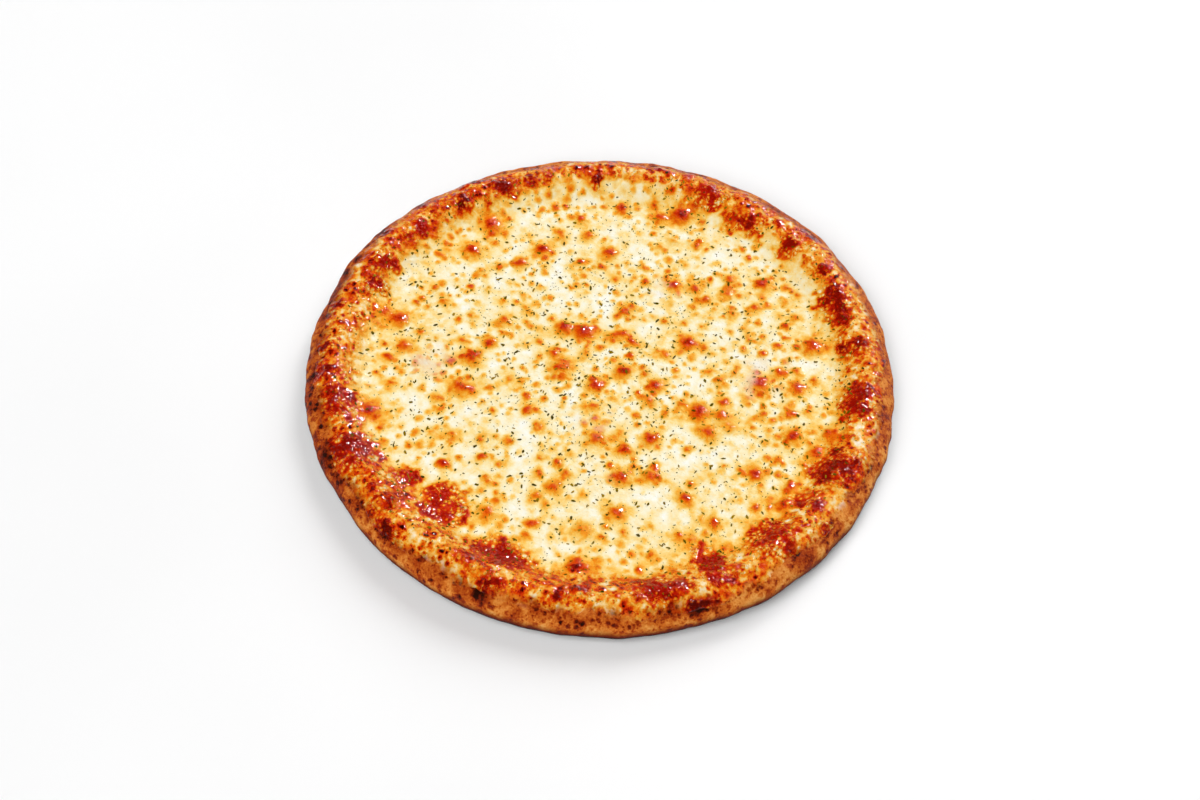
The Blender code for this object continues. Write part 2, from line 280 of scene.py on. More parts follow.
def scatter(draw, amount, sizes, others):
    """Blisters as x, y and radius in metres, clear of each other and of the others."""
    made = []
    while len(made) < amount:
        r, angle = BLISTER_REACH * RADIUS * math.sqrt(draw.random()), draw.uniform(0, 2 * math.pi)
        x, y, size = r * math.cos(angle), r * math.sin(angle), draw.uniform(*sizes)
        if all(math.hypot(x - a, y - b) > BLISTER_CLEARANCE * (size + c) for a, b, c in others + made):
            made.append((x, y, size))
    return made


def scatter_blisters():
    """Every blister as x, y, radius in metres and depth of browning from 0 to 1."""
    draw = random.Random(BLISTER_SEED)
    large = scatter(draw, LARGE_BLISTERS, LARGE_BLISTER_SIZES, [])
    small = scatter(draw, SMALL_BLISTERS, SMALL_BLISTER_SIZES, large)
    shade = random.Random(BLISTER_SEED + 1)
    medium = scatter(shade, MEDIUM_BLISTERS, MEDIUM_BLISTER_SIZES, large)
    found = []
    for x, y, size in large:
        depths = DEEPEST_BROWNING if shade.random() < DEEPEST_SHARE else LARGE_BROWNING
        found.append((x, y, size, shade.uniform(*depths)))
    for made, depths in ((small, SMALL_BROWNING), (medium, MEDIUM_BROWNING)):
        found.extend((x, y, size, shade.uniform(*depths)) for x, y, size in made)
    return found


def rim_patches():
    """Every browned patch in the measures of the main ones: those, then small ones round the rim."""
    draw, tone = random.Random(PATCH_SEED), random.Random(PATCH_SEED + 1)
    patches = list(MAIN_PATCHES)
    for k in range(SMALL_PATCHES):
        degrees = 360 * (k + draw.uniform(-PATCH_WANDER, PATCH_WANDER)) / SMALL_PATCHES
        share, length = draw.uniform(*SMALL_PATCH_SHARES), draw.uniform(*SMALL_PATCH_LENGTHS)
        width = draw.uniform(*SMALL_PATCH_WIDTHS)
        darkness, redness = tone.uniform(*SMALL_PATCH_DARKNESS), tone.uniform(*SMALL_PATCH_REDNESS)
        patches.append((degrees, share, length, width, darkness, redness))
    return patches


def pushed(x, y, pushes, sizes, seed):
    """The same places pushed about unevenly, so that shapes laid on them aren't regular."""
    px = x + pushes[0] * layered(x, y, sizes[0], seed) + pushes[1] * noise(x, y, sizes[1], seed + 2)
    py = y + pushes[0] * layered(x, y, sizes[0], seed + 1) + pushes[1] * noise(x, y, sizes[1], seed + 3)
    return px, py


def patch_fields(x, y):
    """How much each point lies in a browned rim patch, how dark and red it is there, and its glow."""
    wx, wy = pushed(x, y, PATCH_PUSHES, PATCH_PUSH_SIZES, 21)
    lobes = 1.9 * layered(x, y, 0.0062, 25, 2) + 1.0 * noise(x, y, 0.0024, 27)
    patch, dark, red, glow = (np.zeros_like(x) for _ in range(4))
    for degrees, share, length, width, darkness, redness in rim_patches():
        angle = math.radians(degrees)
        along = wx * math.cos(angle) + wy * math.sin(angle) - share * RADIUS
        across = wy * math.cos(angle) - wx * math.sin(angle)
        reach = np.hypot(along / (length / 1000), across / (width / 1000))
        beyond = (reach - 1) * min(length, width) + lobes
        cover = min(1, 1.4 * darkness)
        patch = np.maximum(patch, cover * (1 - smooth(-0.5, 2.0, beyond)))
        glow = np.maximum(glow, 1 - smooth(-1.0, 6.0, beyond))
        dark = np.maximum(dark, darkness * (1 - smooth(0.25, 1.15, reach)))
        red = np.maximum(red, redness * (1 - smooth(0.65, 1.40, reach)))
    return patch, dark, red, glow


def spot_field(x, y, size, seed, small, large, present):
    """Round spots from 0 to 1, one to a cell, their radii from small to large shares of the cell."""
    near, own = cells(x, y, size, seed)
    radius = small + (large - small) * own
    return np.clip(1 - (near / radius) ** 2, 0, 1) * (own > 1 - present)


def rim_details(x, y, wx, wy):
    """The rim's small shapes from 0 to 1: bubbles, froth, browned spots and raised strands."""
    bubbled = spot_field(x, y, 0.0056, 41, 0.40, 0.66, 1.0)
    froth = spot_field(wx, wy, 0.0031, 43, 0.42, 0.64, 0.92)
    browned = spot_field(wx, wy, 0.0042, 56, 0.25, 0.52, 0.6)
    return bubbled, froth, browned, ridged(x, y, 0.006, 45)


def plain_height(x, y, on_rim, dark, details):
    """How uneven the cheese is without its blisters: pooled in the middle and craggy on the rim."""
    bubbled, froth, browned, strands = details
    pooled = 0.0005 * layered(x, y, 0.022, 6) + 0.00030 * layered(x, y, 0.006, 8)
    crags = 0.0008 * layered(x, y, 0.0075, 7, 3) + 0.0009 * bubbled + 0.0011 * froth * (0.15 + 0.85 * dark)
    crags = crags + 0.0006 * browned + 0.0011 * dark + 0.0004 * strands - 0.0008
    return pooled * (1 - on_rim) + crags * on_rim


def plain_toast(x, y, browned, strands):
    """How toasted the cheese is without blisters and patches, and how much each point lies on the rim; the
    rim is paler on the right as painted light and darker on the left as painted shade.
    """
    r, angle = np.hypot(x, y), np.arctan2(y, x)
    share = r / outer_radius(angle)
    wander = share + 0.034 * layered(x, y, 0.018, 51, 2) + 0.014 * noise(x, y, 0.006, 53)
    wander = wander - 0.030 * np.sin(angle)
    rim = smooth(0.795, 0.875, wander)
    creamy = 0.145 + 0.15 * layered(x, y, 0.012, 54, 3) + 0.09 * noise(x, y, 0.0035, 55)
    creamy = creamy + 0.08 * smooth(0.68, 0.84, wander)
    ground = 0.45 + 0.38 * layered(x, y, 0.0055, 57, 3) + 0.24 * browned
    # The cosine term is painted light and shade: the rim is paler on the right, where the key light falls,
    # and darker on the left.
    ground = ground + 0.08 * np.maximum(0, np.sin(angle)) - 0.05 * np.cos(angle)
    ground = ground - 0.30 * strands**2 + 0.04 * smooth(0.90, 0.97, wander)
    return creamy * (1 - rim) + ground * rim, rim


def blister_fields(wx, wy, blisters):
    """How much the blisters swell the cheese, brown it on and round them, and warm it further out."""
    swell, halo, warm = (np.zeros_like(wx) for _ in range(3))
    for bx, by, size, depth in blisters:
        distance = np.hypot(wx - bx, wy - by) / size
        dome = np.clip(1 - distance**2, 0, 1) ** 1.2
        swell = np.maximum(swell, BLISTER_RISE * size * dome * (0.35 + 0.65 * depth))
        core = 1 - smooth(0.05, 0.74, distance)
        ring = 1 - smooth(0.50, 1.42, distance)
        halo = 1 - (1 - halo) * (1 - depth * (0.58 * core + 0.34 * ring))
        warm = np.maximum(warm, depth * (1 - smooth(0.8, 2.3, distance)))
    return swell, halo, warm


def freckle_field(x, y, wx, wy, rim):
    """Small browned freckles between the blisters, in loose clusters that leave the rim free."""
    rx, ry = 0.55 * wx + 0.45 * x, 0.55 * wy + 0.45 * y
    clustered = smooth(-0.35, 0.25, layered(x, y, 0.030, 69, 2))
    freckles = 0.50 * spot_field(rx, ry, 0.0088, 171, 0.14, 0.38, 0.55)
    freckles = np.maximum(freckles, 0.38 * spot_field(rx, ry, 0.0052, 173, 0.18, 0.42, 0.40)) * (1 - rim)
    return freckles * (0.25 + 0.75 * clustered)


def thin_field(x, y, wx, wy):
    """How thin the cheese lies over the sauce, in ragged spots."""
    thin = np.zeros_like(x)
    ragged = smooth(-0.1, 0.6, layered(x, y, 0.007, 67, 3))
    for tx, ty, size in THIN_SPOTS:
        distance = np.hypot(wx - tx * RADIUS, wy - ty * RADIUS) / (size / 1000)
        thin = np.maximum(thin, (1 - smooth(0.1, 1.2, distance)) * ragged)
    return thin


def bare_edge(x, y):
    """How much the cheese gives way to bare dough near its lacy edge."""
    from_edge = lacy_edge(np.arctan2(y, x)) - np.hypot(x, y)
    edge = 1 - smooth(0, 0.0055, from_edge + 0.003 * layered(x, y, 0.007, 59, 2))
    return np.maximum(edge, 1 - smooth(0, 0.0022, from_edge))


def cheese_fields(x, y, blisters):
    """Height of the cheese above the dough at each point, and what its material reads there."""
    r, angle = np.hypot(x, y), np.arctan2(y, x)
    crown = outer_radius(angle) - CROWN_INSET
    on_rim = smooth(crown - SLOPE_WIDTH, crown, r)
    patch, dark, red, glow = patch_fields(x, y)
    wx, wy = pushed(x, y, BLISTER_PUSHES, BLISTER_PUSH_SIZES, 61)
    details = rim_details(x, y, wx, wy)
    _, froth, browned, strands = details
    toast, rim = plain_toast(x, y, browned, strands)
    swell, halo, warm = blister_fields(wx, wy, blisters)
    freckles = freckle_field(x, y, wx, wy, rim)
    halo = 1 - (1 - halo) * (1 - freckles)

    thick = CHEESE_THICKNESS + (RIM_CHEESE_THICKNESS - CHEESE_THICKNESS) * on_rim
    height = plain_height(x, y, on_rim, dark, details) + swell + 0.0010 * freckles
    toast = toast + 0.18 * warm * (1 - rim)
    toast = toast + (0.90 - toast) * halo
    toast = toast + np.maximum(0, 0.54 - toast) * glow * 0.55
    # Less browned on the froth's bubbles, so the gaps between them are darker: painted shade in the crevices.
    baked = 0.57 + 0.36 * dark**1.6 + 0.42 * layered(x, y, 0.0048, 65, 2) - 0.14 * froth
    toast = toast + (baked - toast) * patch
    fields = {
        "toast": toast, "patch": patch, "dark": dark, "red": red,
        "thin": thin_field(x, y, wx, wy), "rim": rim, "edge": bare_edge(x, y),
    }
    return thick + height, {name: np.clip(values, 0, 1) for name, values in fields.items()}


def ring_radii(rings_inside, rings_on_rim, rim_start, edge):
    """Radii of the mesh's rings: even steps inside, finer steps on the rim, the finest at the very edge."""
    inside = [rim_start * (k + 1) / rings_inside for k in range(rings_inside)]
    lip = [edge - d for d in EDGE_RINGS]
    steps = rings_on_rim - len(lip)
    on_rim = [rim_start + (lip[0] - rim_start) * (k + 1) / (steps + 1) for k in range(steps)]
    return inside + on_rim + lip


def disc_mesh(radii):
    """Angles, radii and faces of a disc in which ring k has 8 k points, so that its faces stay even."""
    angles, rho, faces = [0.0], [0.0], []
    start, count = 0, 1
    for k, radius in enumerate(radii, 1):
        new_start, new_count = start + count, 8 * k
        angles.extend(2 * math.pi * i / new_count for i in range(new_count))
        rho.extend([radius] * new_count)
        if k == 1:
            faces.extend((0, new_start + i, new_start + (i + 1) % 8) for i in range(8))
        else:
            for part in range(8):
                inner = [start + (part * (k - 1) + i) % count for i in range(k)]
                outer = [new_start + (part * k + i) % new_count for i in range(k + 1)]
                for i in range(k):
                    faces.append((outer[i], outer[i + 1], inner[i]))
                    if i < k - 1:
                        faces.append((outer[i + 1], inner[i + 1], inner[i]))
        start, count = new_start, new_count
    return np.array(angles), np.array(rho), faces, (start, count)


def add_piece(name, points, faces, material, node):
    """A smooth mesh that rides on the root body and stands for a solid."""
    mesh = bpy.data.meshes.new(name)
    mesh.from_pydata([tuple(p) for p in points], [], faces)
    mesh.validate()
    mesh.shade_smooth()
    mesh.materials.append(material)
    piece = bpy.data.objects.new(name, mesh)
    bpy.context.scene.collection.objects.link(piece)
    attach(piece, "root")
    if node:
        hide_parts(node)
    return piece


def set_values(piece, name, values):
    """A number for each vertex, which the material reads by name."""
    layer = piece.data.attributes.new(name, "FLOAT", "POINT")
    layer.data.foreach_set("value", np.asarray(values, np.float32))


def build_cheese(material, blisters):
    """The melted cheese: a fine blistered top whose edge dips into the dough, closed beneath."""
    nominal_edge = RADIUS - EDGE_INSET
    radii = ring_radii(RINGS_INSIDE, RINGS_ON_RIM, RIM_START, nominal_edge)
    angles, rho, faces, (start, count) = disc_mesh(radii)
    stretch = (lacy_edge(angles) / nominal_edge - 1) * smooth(0.80, 1.0, rho / nominal_edge)
    r = rho * (1 + stretch)
    x, y = r * np.cos(angles), r * np.sin(angles)
    height, fields = cheese_fields(x, y, blisters)
    from_edge = lacy_edge(angles) - r
    lip = np.sqrt(1 - (1 - np.clip(from_edge / LIP_WIDTH, 0, 1)) ** 2)
    slope = LIP_THICKNESS_SHARE + (1 - LIP_THICKNESS_SHARE) * smooth(0, LIP_SLOPE_WIDTH, from_edge)
    z = capped(dough_height(x, y) + FIT_GAP - LIP_SINK + (height + LIP_SINK) * lip * slope)
    share, sunk = LOWER_SIDE_REACH, LOWER_SIDE_HEIGHT
    inner = np.stack([share * x[start:], share * y[start:], np.full(count, sunk)], axis=1)
    points = np.concatenate([np.stack([x, y, z], axis=1), inner, [[0, 0, sunk]]])
    below, hub = start + count, start + 2 * count
    for i in range(count):
        after = (i + 1) % count
        faces.append((start + after, start + i, below + i, below + after))
        faces.append((below + after, below + i, hub))
    piece = add_piece("melted_cheese", points, faces, material, "cheese")
    for name, values in fields.items():
        set_values(piece, name, np.append(values, np.zeros(count + 1)))
    return piece


def crust_point(turn, outer, top):
    """Radius and height on the rim's outer side: turn runs from 0 underneath to 2 on the crown."""
    lower = outer - BASE_INSET * (1 - np.sin(math.pi / 2 * np.minimum(turn, 1)))
    upper = outer - CROWN_INSET * (1 - np.cos(math.pi / 2 * np.maximum(turn - 1, 0)))
    z_lower = EQUATOR_HEIGHT * (1 - np.cos(math.pi / 2 * np.minimum(turn, 1)))
    z_upper = EQUATOR_HEIGHT + (top - EQUATOR_HEIGHT) * np.sin(math.pi / 2 * np.maximum(turn - 1, 0))
    return np.where(turn < 1, lower, upper), np.where(turn < 1, z_lower, z_upper)


def crust_rings(angles):
    """Radii and heights of the dough's rings, from the underside round the side to the flat middle."""
    outer, top = outer_radius(angles), crown_height(angles)
    rings = [(share * (outer - BASE_INSET), 0 * angles) for share in UNDERSIDE_SHARES]
    for k in range(CRUST_SIDE_STEPS + 1):
        rings.append(crust_point(np.full(len(angles), 2 * k / CRUST_SIDE_STEPS), outer, top))
    for share in SLOPE_SHARES:
        r = outer - CROWN_INSET - share * SLOPE_WIDTH
        rings.append((r, dough_height(r * np.cos(angles), r * np.sin(angles))))
    return rings


def lumpy_ring(angles, r, z):
    """One ring's points, with small lumps where they show."""
    x, y = r * np.cos(angles), r * np.sin(angles)
    shown = smooth(0.0004, 0.004, z) * smooth(0.80, 0.93, r / outer_radius(angles))
    lump = sum(height * noise3(x, y, z, size, seed) for height, size, seed in DOUGH_LUMPS)
    lump = lump * shown - DOUGH_SETBACK * shown
    return np.stack((x + lump * np.cos(angles), y + lump * np.sin(angles), z + 0.4 * lump), axis=1)


def build_crust(material):
    """The dough: a flat underside, a lumpy rounded side and a flat middle under the cheese."""
    segments = CRUST_SEGMENTS
    angles = np.arange(segments) * 2 * math.pi / segments
    rings = [lumpy_ring(angles, r, z) for r, z in crust_rings(angles)]
    points = np.concatenate(rings + [np.array([[0, 0, 0], [0, 0, DOUGH_THICKNESS]])])
    faces = []
    for ring in range(len(rings) - 1):
        low, high = ring * segments, (ring + 1) * segments
        for k in range(segments):
            after = (k + 1) % segments
            faces.append((low + k, low + after, high + after, high + k))
    under, over = len(points) - 2, len(points) - 1
    last = (len(rings) - 1) * segments
    faces += [((k + 1) % segments, k, under) for k in range(segments)]
    faces += [(last + k, last + (k + 1) % segments, over) for k in range(segments)]
    piece = add_piece("baked_crust", points, faces, material, "crust")
    patch, dark, _, _ = patch_fields(points[:, 0], points[:, 1])
    shown = smooth(0.0050, 0.0125, points[:, 2])
    set_values(piece, "patch", patch * shown)
    set_values(piece, "dark", dark * shown)
    return piece


def leaf_outline(draw, length, width):
    """An uneven torn leaf shape around the origin."""
    corners = draw.choice((5, 6, 6, 7))
    outline = []
    for k in range(corners):
        turn = 2 * math.pi * (k + draw.uniform(-0.25, 0.25)) / corners
        reach = draw.uniform(0.72, 1.12)
        outline.append((0.5 * length * reach * math.cos(turn), 0.5 * width * reach * math.sin(turn)))
    return outline


def flake_places():
    """Every herb flake as x, y, length, width and heading: the solid's large ones, then the smaller ones."""
    draw = random.Random(FLAKE_SEED)
    placed, flakes = [], []
    while len(placed) < LARGE_FLAKES:
        r, angle = FLAKE_REACH * RADIUS * math.sqrt(draw.random()), draw.uniform(0, 2 * math.pi)
        x, y = r * math.cos(angle), r * math.sin(angle)
        if any(math.hypot(x - a, y - b) < FLAKE_SPACING for a, b in placed):
            continue
        placed.append((x, y))
        length, width = draw.uniform(*FLAKE_LENGTHS), draw.uniform(*FLAKE_WIDTHS)
        # The solid's flakes draw their curl here, so one draw is passed over to keep the same places
        draw.uniform(*FLAKE_CURLS)
        flakes.append((x, y, length, width, draw.uniform(0, math.pi)))
    finer = (
        (SMALL_FLAKES, SMALL_FLAKE_LENGTHS, SMALL_FLAKE_REACH),
        (HERB_DUST, HERB_DUST_LENGTHS, HERB_DUST_REACH),
    )
    for amount, lengths, reach in finer:
        for _ in range(amount):
            r, angle = reach * RADIUS * draw.random() ** FLAKE_CROWDING, draw.uniform(0, 2 * math.pi)
            length = draw.uniform(*lengths)
            width = length * draw.uniform(*FLAKE_WIDTH_SHARES)
            flakes.append((r * math.cos(angle), r * math.sin(angle), length, width, draw.uniform(0, math.pi)))
    return flakes


def flake_corners(draw, flake, heights):
    """One flake's lower, then its upper corners, from the surface's heights there, eastward and northward."""
    x, y, length, width, heading = flake
    here, east, north = heights
    step = FLAKE_SLOPE_STEP
    normal = Vector(((here - east) / step, (here - north) / step, 1)).normalized()
    roll = Matrix.Rotation(draw.uniform(-FLAKE_ROLL, FLAKE_ROLL), 3, "X")
    lean = roll @ Matrix.Rotation(draw.uniform(-FLAKE_PITCH, FLAKE_PITCH), 3, "Y")
    turn = normal.to_track_quat("Z", "Y").to_matrix() @ Matrix.Rotation(heading, 3, "Z") @ lean
    thickness = THINNEST_FLAKE + FLAKE_THICKNESS_SHARE * width
    outline = leaf_outline(draw, length, width)
    curl = draw.uniform(*FLAKE_BENDS)
    corners = []
    for level in (-0.6 * thickness, 0.9 * thickness):
        for px, py in outline:
            bend = curl * (abs(2 * px / length) ** 2 - 0.3) * 0.35 * width
            corners.append(Vector((x, y, here)) + turn @ Vector((px, py, level + bend)))
    return corners


def build_flakes(material, blisters):
    """All herb flakes as one mesh of thin, tilted leaf scraps, half sunk in the cheese."""
    flakes = flake_places()
    xs, ys = np.array([f[0] for f in flakes]), np.array([f[1] for f in flakes])
    surface = []
    for dx, dy in ((0, 0), (FLAKE_SLOPE_STEP, 0), (0, FLAKE_SLOPE_STEP)):
        raised = cheese_fields(xs + dx, ys + dy, blisters)[0]
        surface.append(capped(dough_height(xs + dx, ys + dy) + FIT_GAP + raised))
    draw = random.Random(FLAKE_SEED + 1)
    points, faces, shades = [], [], []
    for k, flake in enumerate(flakes):
        base = len(points)
        points.extend(flake_corners(draw, flake, [heights[k] for heights in surface]))
        n = (len(points) - base) // 2
        faces.append(tuple(base + i for i in reversed(range(n))))
        faces.append(tuple(base + n + i for i in range(n)))
        faces.extend((base + i, base + (i + 1) % n, base + n + (i + 1) % n, base + n + i) for i in range(n))
        shades.extend([draw.random()] * (2 * n))
    piece = add_piece("herb_flakes", points, faces, material, None)
    piece.data.set_sharp_from_angle(angle=math.radians(35))
    set_values(piece, "shade", shades)
    return piece


class Nodes:
    """A material's nodes, made and linked with short calls."""

    def __init__(self, name):
        self.material = bpy.data.materials.new(name)
        self.material.use_nodes = True
        self.tree = self.material.node_tree
        self.shader = self.tree.nodes["Principled BSDF"]

    def add(self, kind, **settings):
        node = self.tree.nodes.new(kind)
        for key, value in settings.items():
            setattr(node, key, value)
        return node

    def link(self, source, target):
        self.tree.links.new(source, target)

    def put(self, socket, value):
        """Links another node's output, or sets a plain number or colour."""
        if isinstance(value, bpy.types.NodeSocket):
            self.link(value, socket)
        else:
            socket.default_value = value

    def attribute(self, name):
        return self.add("ShaderNodeAttribute", attribute_name=name).outputs["Fac"]

    def coordinates(self):
        return self.add("ShaderNodeTexCoord").outputs["Object"]

    def texture_noise(self, scale, detail=3.0, roughness=0.55, distortion=0.0):
        node = self.add("ShaderNodeTexNoise")
        self.link(self.coordinates(), node.inputs["Vector"])
        node.inputs["Scale"].default_value = scale
        node.inputs["Detail"].default_value = detail
        node.inputs["Roughness"].default_value = roughness
        node.inputs["Distortion"].default_value = distortion
        return node.outputs["Fac"]

    def warped_cells(self, scale, warp, edge, core):
        """Uneven spots, one in most cells: 1 at the core and 0 at the edge, both as shares of the cell."""
        push = self.add("ShaderNodeTexNoise")
        self.link(self.coordinates(), push.inputs["Vector"])
        push.inputs["Scale"].default_value = 2.2 * scale
        offset = self.add("ShaderNodeVectorMath", operation="MULTIPLY_ADD")
        self.link(push.outputs["Color"], offset.inputs[0])
        offset.inputs[1].default_value = (2 * warp, 2 * warp, 2 * warp)
        self.link(self.coordinates(), offset.inputs[2])
        node = self.add("ShaderNodeTexVoronoi")
        self.link(offset.outputs[0], node.inputs["Vector"])
        node.inputs["Scale"].default_value = scale
        own = self.add("ShaderNodeSeparateXYZ")
        self.link(node.outputs["Color"], own.inputs[0])
        spot = self.remap(node.outputs["Distance"], core, edge, 1.0, 0.0)
        return self.math("MULTIPLY", spot, self.remap(own.outputs["X"], 0.15, 0.7, 0.0, 1.0))

    def math(self, operation, first, second=0.0, clamp=False):
        node = self.add("ShaderNodeMath", operation=operation, use_clamp=clamp)
        self.put(node.inputs[0], first)
        self.put(node.inputs[1], second)
        return node.outputs[0]

    def remap(self, value, from_low, from_high, to_low, to_high):
        node = self.add("ShaderNodeMapRange", interpolation_type="SMOOTHSTEP")
        self.put(node.inputs["Value"], value)
        node.inputs["From Min"].default_value = from_low
        node.inputs["From Max"].default_value = from_high
        node.inputs["To Min"].default_value = to_low
        node.inputs["To Max"].default_value = to_high
        return node.outputs["Result"]

    def ramp(self, value, stops):
        node = self.add("ShaderNodeValToRGB")
        elements = node.color_ramp.elements
        while len(elements) < len(stops):
            elements.new(0.5)
        for element, (position, colour) in zip(elements, stops):
            element.position = position
            element.color = srgb(*colour)
        self.put(node.inputs["Fac"], value)
        return node.outputs["Color"]

    def mix(self, share, first, second, blend="MIX"):
        node = self.add("ShaderNodeMix", data_type="RGBA", blend_type=blend)
        self.put(node.inputs["Factor"], share)
        self.put(node.inputs[6], first)
        self.put(node.inputs[7], second)
        return node.outputs[2]

    def bump(self, height, distance, strength, below=None):
        node = self.add("ShaderNodeBump")
        node.inputs["Distance"].default_value = distance
        node.inputs["Strength"].default_value = strength
        self.put(node.inputs["Height"], height)
        if below is not None:
            self.link(below, node.inputs["Normal"])
        return node.outputs["Normal"]


# Screen colours from 0 to 255 at shares of the browning, and the tints laid over them
TOAST_STOPS = (
    (0.00, (253, 251, 238)), (0.12, (252, 242, 208)), (0.24, (252, 224, 152)), (0.34, (251, 200, 92)),
    (0.44, (248, 166, 40)), (0.54, (240, 122, 12)), (0.64, (227, 80, 4)), (0.74, (206, 46, 2)),
    (0.83, (164, 22, 1)), (0.91, (98, 7, 0)), (1.00, (38, 2, 0)),
)
DOUGH_STOPS = (
    (0.00, (246, 188, 108)), (0.20, (232, 152, 68)), (0.40, (210, 110, 34)), (0.60, (168, 60, 10)),
    (0.80, (110, 28, 4)), (1.00, (40, 9, 1)),
)
HERB_STOPS = ((0.0, (62, 53, 0)), (0.45, (100, 84, 2)), (0.75, (136, 110, 8)), (1.0, (162, 128, 20)))
RIM_TINT = (1.0, 0.88, 0.80, 1.0)
SCORCHED_RED = (204, 24, 4)
THIN_CHEESE = (236, 222, 216)
FLOOR_DARKEST = (247, 247, 247)
FLOOR_LIGHTEST = (251, 251, 251)


def speckles(n):
    """Small browned spots on the rim, at the same places on the cheese and on the dough beside it."""
    spots = n.warped_cells(270, 0.0012, 0.50, 0.16)
    dots = n.warped_cells(560, 0.0006, 0.44, 0.14)
    return n.math("ADD", n.math("MULTIPLY", spots, 0.36), n.math("MULTIPLY", dots, 0.20))


def strings(n, scale, width):
    """Thin pale threads of melted cheese, 1 on a thread."""
    wavy = n.texture_noise(scale, 2, 0.5, 1.6)
    return n.remap(n.math("ABSOLUTE", n.math("SUBTRACT", wavy, 0.5)), 0.0, width, 1.0, 0.0)


def bubbles(n, scale):
    """Rounded bubbles, 1 at the middle of each and 0 between them."""
    node = n.add("ShaderNodeTexVoronoi")
    n.link(n.coordinates(), node.inputs["Vector"])
    node.inputs["Scale"].default_value = scale
    return n.remap(node.outputs["Distance"], 0.05, 0.62, 1.0, 0.0)


def dough_level(n):
    """How browned the bare dough is: mottled, speckled, browner high up and in patches, and darker on the
    left as painted shade. Also its height z.
    """
    mottled = n.remap(n.texture_noise(90, 4, 0.6, 0.5), 0.32, 0.68, 0.10, 0.46)
    grain = n.math("MULTIPLY", n.math("SUBTRACT", n.texture_noise(1000, 3, 0.6), 0.5), 0.45)
    height = n.add("ShaderNodeSeparateXYZ")
    n.link(n.coordinates(), height.inputs[0])
    upper = n.remap(height.outputs["Z"], 0.0100, 0.0165, 0.0, 0.14)
    # Darker towards the left, the side away from the key light: painted shade.
    upper = n.math("ADD", upper, n.remap(height.outputs["X"], -0.150, -0.090, 0.16, 0.0))
    darker = n.math("ADD", n.math("MULTIPLY", n.attribute("dark"), 0.35), 0.10)
    scorched = n.math("MULTIPLY", n.attribute("patch"), darker)
    blotched = n.remap(n.texture_noise(230, 3, 0.6), 0.50, 0.64, 0.0, 0.22)
    level = n.math("ADD", n.math("ADD", mottled, blotched), n.math("ADD", grain, speckles(n)))
    return n.math("ADD", level, n.math("ADD", upper, scorched), clamp=True), height.outputs["Z"]


def cheese_material():
    """Cream cheese that turns orange, red-brown and nearly black where toasted, with an oily gloss there, and
    painted shade between the bubbles of the rim's patches.
    """
    n = Nodes("melted_cheese")
    toast, rim, patch = n.attribute("toast"), n.attribute("rim"), n.attribute("patch")
    fine = n.math("SUBTRACT", n.texture_noise(1150, 3, 0.6), 0.5)
    broad = n.math("SUBTRACT", n.texture_noise(330, 3, 0.55, 0.5), 0.5)
    weight = n.math("ADD", n.remap(toast, 0.05, 0.75, 0.22, 0.30), n.math("MULTIPLY", rim, 0.20))
    grain = n.math("ADD", n.math("MULTIPLY", fine, 0.5), n.math("MULTIPLY", broad, 1.4))
    grain = n.math("MULTIPLY", grain, weight)
    level = n.math("ADD", toast, grain)
    spotted = n.math("MULTIPLY", speckles(n), n.math("MULTIPLY", rim, n.math("SUBTRACT", 1.0, patch)))
    level = n.math("ADD", level, spotted)
    froth = bubbles(n, 430)
    # Bubble tops in the patches are paler and the gaps between them darker: painted shade in the crevices.
    painted_bubble_shade = n.math("MULTIPLY", n.math("SUBTRACT", froth, 0.5), n.math("MULTIPLY", patch, 0.34))
    level = n.math("SUBTRACT", level, painted_bubble_shade)
    threads = n.math("MULTIPLY", strings(n, 120, 0.018), n.math("MULTIPLY", patch, 0.26))
    level = n.math("SUBTRACT", level, threads, clamp=True)
    colour = n.ramp(level, TOAST_STOPS)
    colour = n.mix(rim, colour, RIM_TINT, "MULTIPLY")
    red_share = n.math("MULTIPLY", n.attribute("red"), n.remap(level, 0.50, 0.80, 0.0, 0.7))
    colour = n.mix(red_share, colour, srgb(*SCORCHED_RED))
    colour = n.mix(n.math("MULTIPLY", n.attribute("thin"), 0.62), colour, srgb(*THIN_CHEESE))
    bare = n.math("MULTIPLY", n.attribute("edge"), n.math("SUBTRACT", 1.0, n.math("MULTIPLY", patch, 0.6)))
    colour = n.mix(n.math("MULTIPLY", bare, 0.95), colour, n.ramp(dough_level(n)[0], DOUGH_STOPS))
    n.link(colour, n.shader.inputs["Base Color"])
    n.link(n.remap(level, 0.15, 0.6, 0.48, 0.35), n.shader.inputs["Roughness"])
    beads = n.remap(n.texture_noise(620, 2), 0.42, 0.58, 0.1, 1.0)
    oil = n.math("MULTIPLY", n.remap(level, 0.40, 0.70, 0.05, 1.0), beads)
    n.link(oil, n.shader.inputs["Coat Weight"])
    n.shader.inputs["Coat Roughness"].default_value = 0.08
    n.shader.inputs["IOR"].default_value = 1.45
    n.shader.inputs["Specular IOR Level"].default_value = 0.05
    crisp = n.remap(level, 0.2, 0.7, 0.45, 1.0)
    frothy = n.math("ADD", n.math("MULTIPLY", patch, 0.75), n.math("MULTIPLY", rim, 0.25))
    blobs = n.math("MULTIPLY", froth, frothy)
    bubbled = n.bump(blobs, 0.0011, 0.9)
    wrinkles = n.bump(n.math("MULTIPLY", n.texture_noise(400, 2, 0.5, 0.6), crisp), 0.0022, 0.7, bubbled)
    pores = n.bump(n.math("MULTIPLY", n.texture_noise(1300, 2, 0.5), crisp), 0.0004, 0.4, wrinkles)
    n.link(pores, n.shader.inputs["Normal"])
    film = n.bump(blobs, 0.00035, 0.8)
    n.link(n.bump(n.texture_noise(420, 1, 0.5, 0.8), 0.0005, 0.6, film), n.shader.inputs["Coat Normal"])
    return n.material


